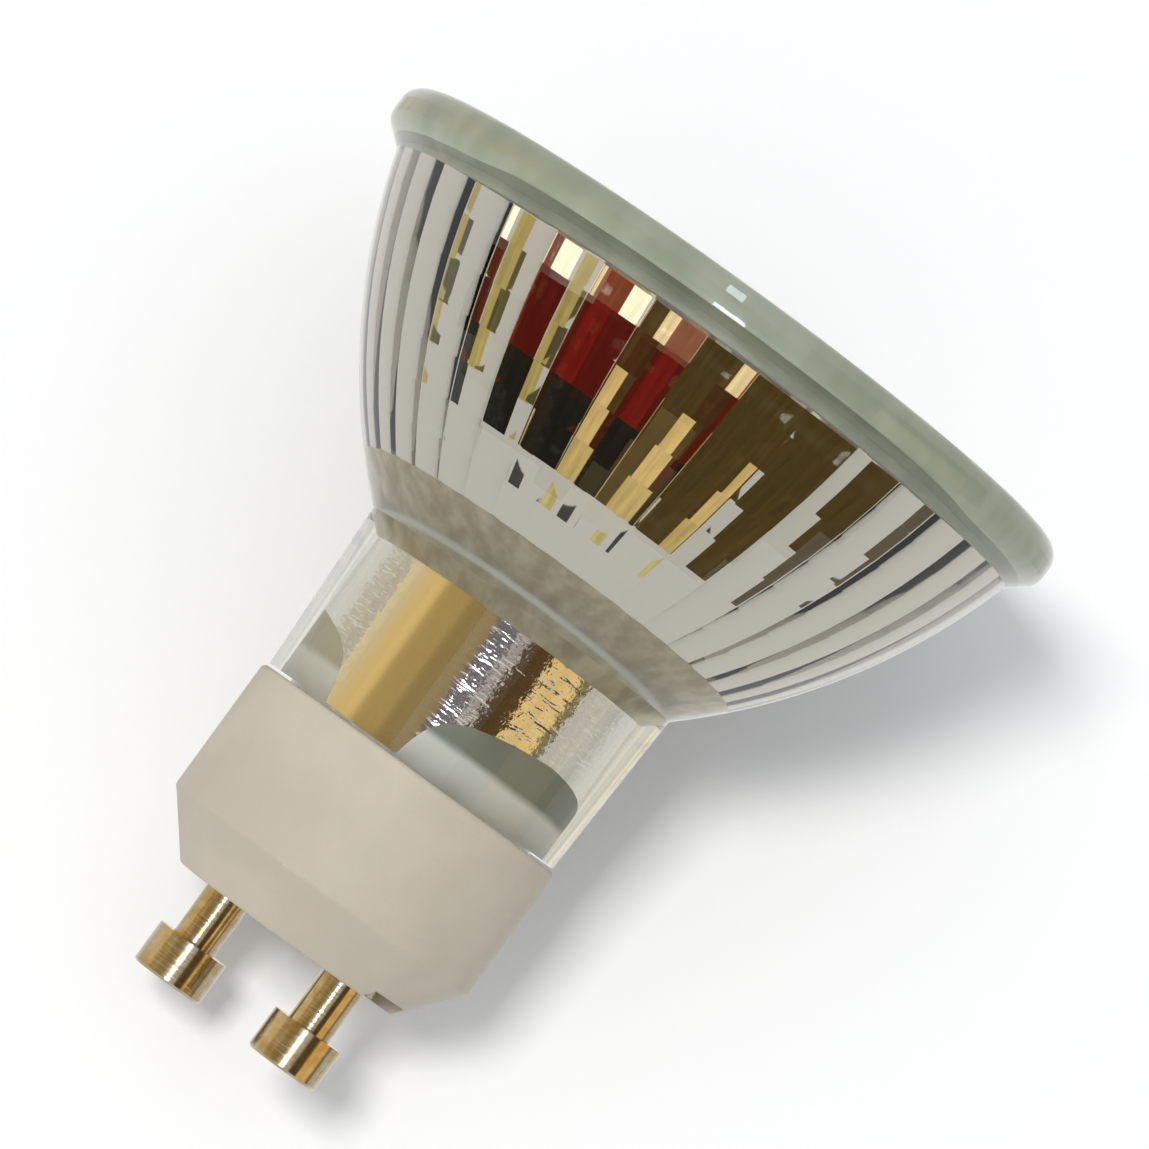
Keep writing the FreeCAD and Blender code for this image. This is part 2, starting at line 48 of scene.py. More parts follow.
bl_info = {
    "name": "Reflector Lamp Studio",
    "version": (1, 0, 0),
    "blender": (4, 5, 0),
    "location": "View3D > Sidebar > Lamp",
    "description": "Dresses a faceted reflector lamp and sets its studio",
    "category": "Add Mesh",
}

MM = 0.001
RIM_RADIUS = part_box("reflector")[1].x
GLASS_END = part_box("reflector")[1].z
CAP_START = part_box("ceramic_base")[0].z

# Points nearer to each other than this are joined.
SAME_POINT = 0.0001 * MM
# Faces that meet at a larger angle show an edge.
SHARP_EDGE = math.radians(32)
# Least sine or cosine that a length is divided by.
LEAST_SHARE = 1e-6
# Nearest place that the camera sees.
NEAREST_SEEN = 10 * MM
# Each card stands this much nearer than the one before it.
CARD_GAP = 5 * MM
# Widest face of a card, in degrees of turn or tilt.
CARD_FACE = 3
# Colour sockets of the Mix node, two inputs and the output, because other sockets share their names.
MIX_FIRST, MIX_SECOND, MIX_RESULT = 6, 7, 2


def length(name, note, size):
    """A length in metres that a user may change."""
    return bpy.props.FloatProperty(name=name, description=note, default=size, precision=5, unit="LENGTH")


def share(name, note, part):
    """A plain factor."""
    return bpy.props.FloatProperty(name=name, description=note, default=part, subtype="FACTOR")


def turn(name, note, degrees):
    """An angle, given in degrees."""
    angle = math.radians(degrees)
    return bpy.props.FloatProperty(name=name, description=note, default=angle, subtype="ANGLE")


def colour(name, note, rgb):
    """A linear colour."""
    return bpy.props.FloatVectorProperty(name=name, description=note, default=rgb, subtype="COLOR", size=3)


# What the mirror reflects. Mirror faces show a card when their turn from the camera and their tilt lie within
# its bounds, in degrees. A row holds name, turns, tilts and colour. A later card hides an earlier one.
CARDS = [
    ("room_low", (-37.5, 20), (14.8, 22.8), (0.125, 0.084, 0.028)),
    ("room_shelf", (-33, 20), (22.8, 26.8), (0.125, 0.084, 0.028)),
    ("room_middle", (-27, 20), (26.8, 30.5), (0.125, 0.084, 0.028)),
    ("room_high", (-25, 10), (30.5, 34), (0.13, 0.088, 0.032)),
    ("maroon_cloth", (5, 30), (18.8, 26.8), (0.15, 0.018, 0.012)),
    ("red_cloth", (8, 16.5), (18.8, 26.8), (0.27, 0.018, 0.014)),
    ("red_shade", (2.8, 8), (26.8, 30.5), (0.11, 0.02, 0.012)),
    ("black_cloth", (6.5, 30.5), (26.8, 34), (0.024, 0.024, 0.02)),
    ("black_knob", (7, 14.5), (34, 35.7), (0.03, 0.03, 0.025)),
    ("brown_chair", (-2, 6), (18.8, 22.8), (0.11, 0.05, 0.02)),
    ("gold_strip", (-5.5, 1.2), (22.8, 26.8), (1.15, 0.84, 0.36)),
    ("gold_middle", (-7, 2.8), (26.8, 30.5), (1.15, 0.84, 0.36)),
    ("gold_top", (-8.5, 6), (30.5, 34), (0.95, 0.72, 0.3)),
    ("gold_knob", (-4.5, 2.5), (34, 35.7), (0.9, 0.8, 0.3)),
    ("olive_cloth", (30.5, 38), (14.8, 30.5), (0.74, 0.6, 0.22)),
    ("green_post", (35, 42), (22.8, 26.8), (0.15, 0.14, 0.06)),
    ("dark_post", (38, 41.5), (18.8, 22.8), (0.17, 0.15, 0.07)),
    ("brown_table", (7.4, 19.5), (14.8, 18.8), (0.4, 0.1, 0.05)),
    ("table_lamp", (19.5, 28.5), (14.8, 18.8), (2.3, 2.15, 1.7)),
    ("small_lamp", (2, 7.4), (14.8, 18.8), (1.5, 1.2, 0.7)),
    ("window", (-1.5, 4), (4.5, 14.2), (18.0, 20.0, 23.0)),
    ("window_low", (0.5, 3.7), (-28, -4.5), (9.5, 10.8, 11.8)),
    ("dark_floor", (-48, -11), (-18, -4.5), (0.055, 0.042, 0.02)),
    ("edge", (-48.5, -43), (-5, 8), (0.28, 0.23, 0.12)),
    ("gold_curtain", (-43, -24), (-3, 8), (1.15, 0.8, 0.33)),
    ("doorway", (-24, -11), (-9, 8), (0.12, 0.07, 0.026)),
    ("window_bar", (-11, -4.5), (-4, 4), (0.5, 0.44, 0.44)),
    ("violet_cloth", (-4.5, 9.5), (-7, 3), (0.19, 0.15, 0.185)),
    ("wood", (9.5, 22), (-9, 5.5), (0.4, 0.27, 0.08)),
    ("pale_wood", (22, 36), (-9, 5.5), (0.58, 0.39, 0.12)),
    ("brass_tray", (36, 49), (-9, 5.5), (1.05, 0.74, 0.29)),
    ("brass_edge", (49, 58.5), (-9, 5.5), (1.0, 0.86, 0.56)),
    ("pale_right", (58.5, 80), (-9, 5.5), (0.72, 0.68, 0.6)),
    ("pale_left", (-80, -48.5), (-9, 8), (0.76, 0.755, 0.73)),
]


class LampGlass(bpy.types.PropertyGroup):
    """Sizes of the pressed glass reflector and its coating."""
    rim_corner: length("Rim corner", "Radius of the bead's front corner", 1.25 * MM)
    rim_band: length("Rim band", "Straight side of the bead", 0.7 * MM)
    rim_back: length("Rim back rounding", "Radius of the bead's back", 1.2 * MM)
    rim_flank: turn("Rim flank", "Turn of the bead's back before it runs to the bowl", 50)
    rim_height: length("Rim height", "Where the bowl leaves the bead", 3.85 * MM)
    rim_overhang: length("Rim overhang", "How far the bead stands out from the bowl", 1.6 * MM)
    bowl_arc: length("Bowl arc", "Radius of the bowl's outer profile", 42 * MM)
    bowl_wall: length("Bowl wall", "Glass between the profile and the facet ridges", 1.9 * MM)
    facet_start: length("Facet start", "Front border of the facets", 2.9 * MM)
    facet_end: length("Facet end", "Rear border of the facets and front of the floor plate", 18.9 * MM)
    facet_columns: bpy.props.IntProperty(name="Facet columns", description="Facets in one row", default=36)
    facet_rows: bpy.props.IntProperty(name="Facet rows", description="Rows of facets", default=7)
    facet_bulge: share("Facet bulge", "Facet radius as a share of its ridge radius", 0.68)
    ridge_rounding: share("Ridge rounding", "Share of a facet's half width, smoothed at each ridge", 0.04)
    lip_margin: length("Lip margin", "Step behind the cover glass", 0.25 * MM)
    seat_height: length("Seat height", "Floor of the cover glass rebate", 2.0 * MM)
    rebate_land: length("Rebate land", "Width of the rim round the cover glass", 2.0 * MM)
    neck_root: length("Neck root radius", "Where the neck meets the bowl", 11.4 * MM)
    neck_root_height: length("Neck root height", "Where the neck meets the bowl", 22.9 * MM)
    neck_end: length("Neck end radius", "Neck at the cap", 10.9 * MM)
    neck_end_height: length("Neck end height", "Neck at the cap", 34.55 * MM)
    spigot: length("Spigot radius", "End that enters the cap", 9.2 * MM)
    neck_bore: length("Neck bore radius", "Inside of the neck", 7.0 * MM)
    bore_floor: length("Bore floor", "Rear face of the floor plate", 23.0 * MM)
    bore_fillet: length("Bore fillet", "Rounding at the bore's floor", 1.0 * MM)
    slot_width: length("Slot width", "Slot for the capsule, across", 10.2 * MM)
    slot_depth: length("Slot depth", "Slot for the capsule, the thin way", 4.2 * MM)
    film_depth: length("Film depth", "How deep the films lie in the face of the glass", 0.006 * MM)
    bond_start: length("Bond start", "Front edge of the milky bond in the rebate", 0.05 * MM)
    throat_radius: length("Throat radius", "Crease between bowl and neck", 9.1 * MM)
    throat_height: length("Throat height", "Crease between bowl and neck", 21.2 * MM)
    coat_border: length("Coating border", "Where the coating ends in the neck beside the pinch", 29.3 * MM)
    coat_shoulder: length("Coating shoulder", "Where the border's slow slope starts", 31.8 * MM)
    tongue_middle: turn("Tongue middle", "Direction of the coating's run up to the cap, from X", 94)
    tongue_half: turn("Tongue half width", "Half the arc where the coating runs up to the cap", 22)
    tongue_edge: turn("Tongue edge", "Arc over which the border falls to its shoulder", 4)
    tongue_slope: turn("Tongue slope", "Arc over which the shoulder runs out", 28)


class LampFilament(bpy.types.PropertyGroup):
    """Sizes of the filament's coil."""
    coil_radius: length("Coil radius", "Centre line of the wire in the coil", 0.33 * MM)
    wire_radius: length("Wire radius", "Tungsten wire", 0.055 * MM)
    coil_pitch: length("Coil pitch", "Way from one turn to the next", 0.2 * MM)
    arch_radius: length("Arch radius", "Bend over the support", 2.2 * MM)
    arch_centre: length("Arch centre", "Height of the arch's centre", 12.2 * MM)


class LampFinish(bpy.types.PropertyGroup):
    """Colours of the lamp's surfaces."""
    glass: colour("Glass", "Tint of the pressed glass", (0.92, 0.94, 0.905))
    coating: colour("Coating", "Mirror coating", (0.54, 0.505, 0.45))
    neck_coating: colour("Neck coating", "Thicker mirror coating of the neck", (0.65, 0.62, 0.565))
    ceramic: colour("Ceramic", "Unglazed cap", (0.51, 0.455, 0.365))
    cement: colour("Cement", "Potting and cement", (0.55, 0.54, 0.5))
    brass: colour("Brass", "Pins where the plating is thin", (0.43, 0.325, 0.17))
    plating: colour("Plating", "Plating of the pins", (0.49, 0.43, 0.3))


class LampStudio(bpy.types.PropertyGroup):
    """Camera, paper, soft light and surroundings."""
    camera_azimuth: turn("Camera azimuth", "Angle of the camera about the lamp's axis, from X", 63.1)
    camera_distance: length("Camera distance", "From the lamp's axis", 445 * MM)
    camera_height: length("Camera height", "Along the lamp's axis", 38 * MM)
    aim_height: length("Aim height", "Point of the axis at the picture's centre", 18.9 * MM)
    aim_side: length("Aim side", "Picture's centre beside the axis", 1.23 * MM)
    axis_angle: turn("Axis angle", "Direction of the pins in the picture, from its right", 234)
    frame_width: length("Frame width", "What the picture spans at the lamp", 71.7 * MM)
    paper_tilt: turn("Paper tilt", "Paper against the lamp's axis", 17)
    paper_size: length("Paper size", "Side of the paper", 0.34)
    paper_contact: length("Paper contact", "Height on the bead where it touches the paper", 1.6 * MM)
    paper_middle: length("Paper middle", "Way from the contact up to the paper's middle", 20 * MM)
    paper: colour("Paper", "White sheet under the lamp", (0.94, 0.945, 0.95))
    key_power: bpy.props.FloatProperty(
        name="Key power", description="Power of the soft light", default=20.0, unit="POWER")
    key_size: length("Key size", "Side of the soft light", 0.44)
    key_distance: length("Key distance", "From the lamp to the soft light", 1.95)
    key_rise: share("Key rise", "How steeply the soft light stands above the camera", 0.28)
    key_left: share("Key left", "How far the soft light stands left of the camera", 0.14)
    key_tint: colour("Key tint", "Colour of the soft light", (1.0, 0.975, 0.94))
    fill_tint: colour("Surroundings on dull surfaces", "Light from all round", (0.62, 0.635, 0.655))
    seen: share("Surroundings", "Strength of the surroundings as seen and reflected", 0.92)
    card_distance: length("Card distance", "From the lamp to the farthest card that it reflects", 1.45)


class Signal:
    """A socket of a node tree; Python expressions on signals add Math nodes."""

    def __init__(self, tree, socket=None):
        self.tree = tree
        self.socket = socket

    def make(self, kind, settings=None, inputs=None, out=0):
        """Adds a node: its settings first, then the values or links of its sockets, by name or number."""
        node = self.tree.nodes.new(kind)
        for name, choice in (settings or {}).items():
            setattr(node, name, choice)
        for name, given in (inputs or {}).items():
            if isinstance(given, Signal):
                self.tree.links.new(given.socket, node.inputs[name])
            else:
                node.inputs[name].default_value = given
        return Signal(self.tree, node.outputs[out] if node.outputs else None)

    def math(self, operation, *others):
        """A Math node on this signal and up to two more values."""
        inputs = {index: other for index, other in enumerate((self,) + others)}
        return self.make("ShaderNodeMath", {"operation": operation}, inputs)

    def __add__(self, other):
        return self.math("ADD", other)

    __radd__ = __add__

    def __mul__(self, other):
        return self.math("MULTIPLY", other)

    __rmul__ = __mul__

    def __sub__(self, other):
        return self.math("SUBTRACT", other)

    def __rsub__(self, other):
        return self.make("ShaderNodeMath", {"operation": "SUBTRACT"}, {0: other, 1: self})

    def step(self, low, high):
        """0 below low, 1 above high and smooth between."""
        return self.make("ShaderNodeMapRange", {"interpolation_type": "SMOOTHSTEP"},
                         {"Value": self, "From Min": low, "From Max": high})

    def blend(self, first, second):
        """A colour between two, this signal being the share of the second."""
        inputs = {"Factor": self, MIX_FIRST: rgba(first), MIX_SECOND: rgba(second)}
        return self.make("ShaderNodeMix", {"data_type": "RGBA"}, inputs, out=MIX_RESULT)


def rgba(tint):
    """A colour as a shader socket takes it; a signal stays as it is."""
    return tint if isinstance(tint, Signal) else tuple(tint) + (1.0,)


def scaled(tint, factor):
    """A colour made darker or brighter by a factor."""
    return [part * factor for part in tint]


class Finish:
    """A material under construction, whose patterns are laid out in millimetres."""

    def __init__(self, name):
        self.material = bpy.data.materials.new(name)
        self.material.use_nodes = True
        self.material.node_tree.nodes.clear()
        self.root = Signal(self.material.node_tree)
        metres = self.root.make("ShaderNodeTexCoord", out="Object")
        scale = {0: metres, "Scale": 1 / MM}
        self.place = self.root.make("ShaderNodeVectorMath", {"operation": "SCALE"}, scale)

    def along(self, axis):
        """Place along X, Y or Z."""
        return self.root.make("ShaderNodeSeparateXYZ", inputs={0: self.place}, out=axis)

    def noise(self, size, detail=3.0, stretch=(1, 1, 1)):
        """Noise whose grains have about the given size and are stretched by three factors."""
        place = self.root.make("ShaderNodeVectorMath", {"operation": "DIVIDE"}, {0: self.place, 1: stretch})
        return self.root.make("ShaderNodeTexNoise", inputs={
            "Vector": place, "Scale": 1 / size, "Detail": detail, "Roughness": 0.55})

    def cells(self, size):
        """Distance to the nearest of scattered points that lie about a size apart."""
        return self.root.make("ShaderNodeTexVoronoi", inputs={"Vector": self.place, "Scale": 1 / size})

    def bump(self, relief, depth):
        """Bump from a signal of 0 to 1 that stands for a depth."""
        return self.root.make("ShaderNodeBump", inputs={"Height": relief, "Distance": depth * MM})

    def surface(self, **sockets):
        """The finished material: sockets of the Principled shader, with _ for a space."""
        inputs = {name.replace("_", " "): rgba(given) if name == "Base_Color" else given
                  for name, given in sockets.items()}
        return self.shaded(self.root.make("ShaderNodeBsdfPrincipled", inputs=inputs))

    def shaded(self, shader):
        """The finished material, from its shader."""
        self.root.make("ShaderNodeOutputMaterial", inputs={"Surface": shader})
        return self.material


def finish_of():
    """Colours that the user has set."""
    return bpy.context.scene.lamp_finish


def glass_material():
    """Pressed glass, faintly green, with the slow waves of the mould on its faces."""
    make = Finish("pressed_glass")
    waves = make.noise(3.2, detail=1.0)
    return make.surface(
        Base_Color=finish_of().glass, Roughness=0.01, IOR=1.44, Transmission_Weight=1.0,
        Normal=make.bump(waves, 0.004))


def coating_material():
    """Aluminium film: smooth on the facets and in its run to the cap, ringed by the mould elsewhere."""
    make = Finish("mirror_coating")
    sizes = bpy.context.scene.lamp_glass
    bore = sizes.neck_bore / MM
    throat_start = 19.5
    throat_end = 22.8
    run = make.along("X") * math.cos(sizes.tongue_middle) + make.along("Y") * math.sin(sizes.tongue_middle)
    smooth = run.math("ABSOLUTE").step(0.89 * bore, 0.95 * bore)
    in_neck = make.along("Z").step(throat_start, throat_end)
    rings = make.noise(0.55, detail=2.0, stretch=(4, 4, 1))
    grains = make.noise(0.35, detail=2.0)
    relief = (rings * 0.75 + grains * 0.25) * in_neck * (1 - smooth * 0.9)
    return make.surface(
        Base_Color=in_neck.blend(finish_of().coating, finish_of().neck_coating), Metallic=1.0,
        Roughness=in_neck * (smooth * 0.1 + 0.04) + 0.02, Normal=make.bump(relief, 0.07))


def throat_material():
    """Thin dull film where the bowl runs into the neck, with a painted highlight along its crease."""
    make = Finish("throat_film")
    dull = (0.51, 0.445, 0.3)
    pale = (0.74, 0.69, 0.53)
    # Painted highlight: a near-white band of colour along the crease, where its rounding would catch the
    # light.
    bright = (0.95, 0.94, 0.88)
    crease = bpy.context.scene.lamp_glass.throat_height / MM
    height = make.along("Z")
    # Mask of the painted highlight, a narrow band at the crease's height.
    line = height.step(crease - 0.3, crease - 0.05) - height.step(crease + 0.05, crease + 0.3)
    streaks = make.noise(1.3, detail=3.0, stretch=(1, 1, 7))
    tint = line.blend(streaks.step(0.3, 0.75).blend(dull, pale), bright)
    return make.surface(Base_Color=tint, Metallic=0.25, Roughness=streaks * 0.2 + 0.25)


def contact_material():
    """What shows through the neck above the mirror: grey film that turns to painted shade towards +X, and
    cement next to the cap with painted light, paler than its own colour.
    """
    make = Finish("cement_face")
    light_film = (0.58, 0.54, 0.41)
    # Painted shade: the film turns to this dark colour towards +X.
    painted_shade_film = (0.25, 0.26, 0.2)
    # Painted light: the cement by the cap, far paler than its own colour, as if lit.
    painted_lit_cement = (0.97, 0.96, 0.88)
    cement_start = 32.3
    cement_full = 33.0
    cloud = make.noise(2.6, detail=3.0, stretch=(3, 3, 1))
    film = make.along("X").step(-5.0, 1.0).blend(light_film, painted_shade_film)
    height = make.along("Z") + cloud * 0.8
    tint = height.step(cement_start, cement_full).blend(film, painted_lit_cement)
    return make.surface(Base_Color=tint, Roughness=0.55)


def rim_material():
    """Milky bond behind the bead, even at its front edge and cloudy further back."""
    make = Finish("rim_bond")
    front = (0.42, 0.47, 0.36)
    dull = (0.38, 0.425, 0.32)
    milky = (0.52, 0.55, 0.44)
    cloud = make.noise(4.0, detail=2.0)
    back = cloud.step(0.3, 0.7).blend(dull, milky)
    return make.surface(Base_Color=make.along("Z").step(0.3, 1.1).blend(front, back), Roughness=0.4)


def cover_material():
    """Flat cover glass."""
    make = Finish("cover_glass")
    return make.surface(
        Base_Color=(0.97, 0.985, 0.975), Roughness=0.0, IOR=1.5, Transmission_Weight=1.0,
        Normal=make.bump(make.noise(6.0, detail=1.0), 0.004))


def quartz_material():
    """Clear quartz with the drawn waves of the pinch."""
    make = Finish("quartz")
    return make.surface(
        Base_Color=(0.985, 0.99, 1.0), Roughness=0.0, IOR=1.458, Transmission_Weight=1.0,
        Normal=make.bump(make.noise(1.6, detail=2.0, stretch=(1, 1, 3)), 0.03))


def bond_material():
    """Clear silicone that has gone slightly milky."""
    make = Finish("clear_bond")
    cloud = make.noise(1.2)
    return make.surface(
        Base_Color=(0.84, 0.87, 0.84), Roughness=cloud * 0.2 + 0.25, IOR=1.41, Transmission_Weight=0.4)


def ceramic_material():
    """Dry pressed steatite: cream, fine grained, a little darker in patches."""
    make = Finish("steatite")
    cream = finish_of().ceramic
    patches = make.noise(7.0, detail=4.0)
    grain = make.noise(0.16, detail=3.0)
    pits = 1 - make.cells(0.9).step(0.0, 0.1)
    tint = patches.step(0.3, 0.75).blend(scaled(cream, 0.93), scaled(cream, 1.04))
    speckled = (grain.step(0.55, 0.8) * 0.25).blend(tint, scaled(cream, 0.8))
    return make.surface(
        Base_Color=speckled, Roughness=grain * 0.2 + 0.5, Specular_IOR_Level=0.35,
        Normal=make.bump(grain * 0.5 + patches * 0.5 - pits * 0.25, 0.03))


def cement_material():
    """Grey cement with sand in it."""
    make = Finish("cement")
    grey = finish_of().cement
    sand = make.noise(0.35, detail=4.0)
    tint = sand.step(0.3, 0.7).blend(scaled(grey, 0.8), scaled(grey, 1.1))
    return make.surface(Base_Color=tint, Roughness=0.9, Normal=make.bump(sand, 0.12))


def pin_material():
    """Turned brass with a thin bright plating, scored round by the tool."""
    make = Finish("plated_brass")
    worn = make.noise(0.9, detail=4.0)
    scores = make.noise(0.14, detail=2.0, stretch=(12, 12, 1))
    tint = worn.step(0.35, 0.68).blend(finish_of().plating, finish_of().brass)
    relief = scores * 0.7 + worn * 0.3
    return make.surface(
        Base_Color=tint, Metallic=1.0, Roughness=worn * 0.12 + 0.1, Normal=make.bump(relief, 0.014))


def metal_material(name, tint, rough, score=0.2):
    """Drawn or rolled metal with fine scratches along it."""
    make = Finish(name)
    marks = make.noise(score, detail=2.0, stretch=(1, 1, 8))
    shade = marks.step(0.35, 0.75).blend(scaled(tint, 0.82), tint)
    return make.surface(
        Base_Color=shade, Metallic=1.0, Roughness=marks * 0.15 + rough, Normal=make.bump(marks, 0.01))


def solder_material():
    """Bright solder, slightly pitted."""
    make = Finish("solder")
    lumps = make.noise(0.5)
    return make.surface(
        Base_Color=(0.66, 0.66, 0.65), Metallic=1.0, Roughness=lumps * 0.2 + 0.2,
        Normal=make.bump(lumps, 0.06))


def sleeve_material():
    """Braided glass fibre: two families of strands that cross."""
    make = Finish("glass_sleeving")
    slant = make.along("X") * 1.4
    height = make.along("Z")
    strands = [(way * 9.0).math("SINE") for way in (height + slant, height - slant)]
    braid = strands[0].math("MAXIMUM", strands[1]) * 0.5 + 0.5
    tint = braid.blend((0.5, 0.47, 0.4), (0.82, 0.8, 0.74))
    return make.surface(Base_Color=tint, Roughness=0.8, Normal=make.bump(braid, 0.08))


def fuse_material():
    """Glazed bead of the fuse."""
    make = Finish("fuse_glass")
    cloud = make.noise(0.8)
    tint = cloud.blend((0.7, 0.68, 0.6), (0.84, 0.82, 0.76))
    return make.surface(Base_Color=tint, Roughness=0.15, Coat_Weight=0.5, Normal=make.bump(cloud, 0.02))


def piece_from(name, mesh, material, replaces=()):
    """Puts a finished mesh into the scene as a piece of the lamp."""
    piece = bpy.data.objects.new(name, mesh)
    bpy.context.scene.collection.objects.link(piece)
    mesh.materials.append(material)
    mesh.shade_smooth()
    mesh.set_sharp_from_angle(angle=SHARP_EDGE)
    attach(piece, "root")
    if replaces:
        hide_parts(*replaces)
    return piece


def dress(material, *nodes):
    """Gives carried-over nodes their material."""
    for node in nodes:
        NODES[node].data.materials.clear()
        NODES[node].data.materials.append(material)


def mesh_from_rings(name, rings, closed):
    """Skin over rings of equal count; closed joins the last ring to the first."""
    count = len(rings[0])
    points = [point for ring in rings for point in ring]
    faces = []
    for level in range(len(rings) if closed else len(rings) - 1):
        low = level * count
        high = (level + 1) % len(rings) * count
        for index in range(count):
            after = (index + 1) % count
            faces.append((low + index, low + after, high + after, high + index))
    mesh = bpy.data.meshes.new(name)
    mesh.from_pydata(points, [], faces)
    shell = bmesh.new()
    shell.from_mesh(mesh)
    bmesh.ops.remove_doubles(shell, verts=shell.verts, dist=SAME_POINT)
    bmesh.ops.recalc_face_normals(shell, faces=shell.faces)
    shell.to_mesh(mesh)
    shell.free()
    return mesh


def raised(ring, rise):
    """A ring moved along the lamp's axis."""
    return [(x, y, z + rise) for x, y, z in ring]


def arc_centre(start, end, radius):
    """Centre of an arc between two points, left of the way from start to end if radius > 0."""
    chord = Vector(end) - Vector(start)
    left = Vector((-chord.y, chord.x)).normalized()
    reach = math.sqrt(radius ** 2 - chord.length_squared / 4)
    return (Vector(start) + Vector(end)) / 2 + left * math.copysign(reach, radius)


def arc_profile(start, end, radius, steps):
    """Points of an arc from start to end, the end left out; radius as for its centre."""
    centre = arc_centre(start, end, radius)
    first = Vector(start) - centre
    half_chord = (Vector(end) - Vector(start)).length / 2
    sweep = math.copysign(2 * math.asin(half_chord / abs(radius)), radius)
    return [tuple(centre + Matrix.Rotation(sweep * step / steps, 2) @ first) for step in range(steps)]


def straight_profile(start, end, steps):
    """Points from start to end, the end left out."""
    return [tuple(Vector(start).lerp(Vector(end), step / steps)) for step in range(steps)]


class Bowl:
    """The form of the glass: its angles round the axis, its profiles and its facet rings."""

    def __init__(self, sizes):
        self.sizes = sizes
        self.half = math.pi / sizes.facet_columns
        # Places across a facet, from its ridge at -1 to the next one at 1, close together at the ridges.
        edge = sizes.ridge_rounding
        places = [-1, -1 + edge, -1 + 2 * edge, -0.7, -0.35, 0, 0.35, 0.7, 1 - 2 * edge, 1 - edge]
        self.angles = [2 * self.half * column + self.half * place
                       for column in range(sizes.facet_columns) for place in places]
        self.front = (RIM_RADIUS - sizes.rim_overhang, sizes.rim_height)
        self.root = (sizes.neck_root, sizes.neck_root_height)
        self.centre = arc_centre(self.front, self.root, sizes.bowl_arc)
        self.inner = sizes.bowl_arc - sizes.bowl_wall

    def outer_profile(self):
        """Radius and height from the rim's front face round the outside to the end of the spigot."""
        sizes = self.sizes
        band_end = sizes.rim_corner + sizes.rim_band
        flank = (RIM_RADIUS - sizes.rim_back * (1 - math.cos(sizes.rim_flank)),
                 band_end + sizes.rim_back * math.sin(sizes.rim_flank))
        neck_end = (sizes.neck_end, sizes.neck_end_height)
        profile = [(RIM_RADIUS - sizes.rebate_land, 0.0)]
        profile += arc_profile((RIM_RADIUS - sizes.rim_corner, 0.0), (RIM_RADIUS, sizes.rim_corner),
                               sizes.rim_corner, steps=8)
        profile += [(RIM_RADIUS, sizes.rim_corner)]
        profile += arc_profile((RIM_RADIUS, band_end), flank, sizes.rim_back, steps=7)
        profile += straight_profile(flank, self.front, steps=2)
        profile += arc_profile(self.front, self.root, sizes.bowl_arc, steps=44)
        profile += straight_profile(self.root, neck_end, steps=16)
        return profile + [neck_end, (sizes.spigot, sizes.neck_end_height), (sizes.spigot, GLASS_END)]

    def bore_profile(self):
        """Radius and height from the end of the spigot down the bore to the edge of its floor."""
        sizes = self.sizes
        fillet = (sizes.neck_bore, sizes.bore_floor + sizes.bore_fillet)
        floor = (sizes.neck_bore - sizes.bore_fillet, sizes.bore_floor)
        profile = [(sizes.neck_bore, GLASS_END)]
        profile += straight_profile((sizes.neck_bore, sizes.neck_end_height), fillet, steps=10)
        profile += arc_profile(fillet, floor, -sizes.bore_fillet, steps=6)
        return profile + [floor]

    def ridge(self, step):
        """Radius and height of the ridges at a border between rows; the step may lie between borders."""
        first = math.asin((self.sizes.facet_start - self.centre.y) / self.inner)
        last = math.asin((self.sizes.facet_end - self.centre.y) / self.inner)
        rows = self.sizes.facet_rows
        low = math.floor(step)
        ends = []
        for border in (low, min(low + 1, rows)):
            angle = first + (last - first) * border / rows
            ends.append(self.centre + self.inner * Vector((math.cos(angle), math.sin(angle))))
        return ends[0].lerp(ends[1], step - low)

    def facet_radius(self, ridge_radius, angle):
        """Distance from the axis of a facet's arc, which bulges inwards between two ridges."""
        beside = (angle + self.half) % (2 * self.half) - self.half
        arc = self.sizes.facet_bulge * ridge_radius
        half_chord = ridge_radius * math.sin(self.half)
        centre = ridge_radius * math.cos(self.half) + math.sqrt(arc ** 2 - half_chord ** 2)
        return centre * math.cos(beside) - math.sqrt(arc ** 2 - (centre * math.sin(beside)) ** 2)

    def facet_ring(self, step, offset=0.0):
        """Ring of the facets at a step, nearer to the axis by an offset."""
        ridge, height = self.ridge(step)
        return [self.point(self.facet_radius(ridge, angle) - offset, height, angle) for angle in self.angles]

    def facet_rings(self, offset=0.0):
        """Rings of the facets from the front, close together at the borders between rows."""
        rows = self.sizes.facet_rows
        shares = (0, 0.03, 0.5, 0.97)
        steps = [row + part for row in range(rows) for part in shares] + [rows]
        return [self.facet_ring(step, offset) for step in steps]

    def slot_radius(self, angle):
        """Distance from the axis to the slot's edge."""
        across = self.sizes.slot_width / 2 / max(abs(math.cos(angle)), LEAST_SHARE)
        deep = self.sizes.slot_depth / 2 / max(abs(math.sin(angle)), LEAST_SHARE)
        return min(across, deep)

    def slot_ring(self, height):
        """Edge of the slot for the capsule."""
        return [self.point(self.slot_radius(angle), height, angle) for angle in self.angles]

    def round_ring(self, radius, height):
        """Circle round the axis."""
        return [self.point(radius, height, angle) for angle in self.angles]

    @staticmethod
    def point(radius, height, angle):
        """Place at a distance from the axis."""
        return radius * math.cos(angle), radius * math.sin(angle), height


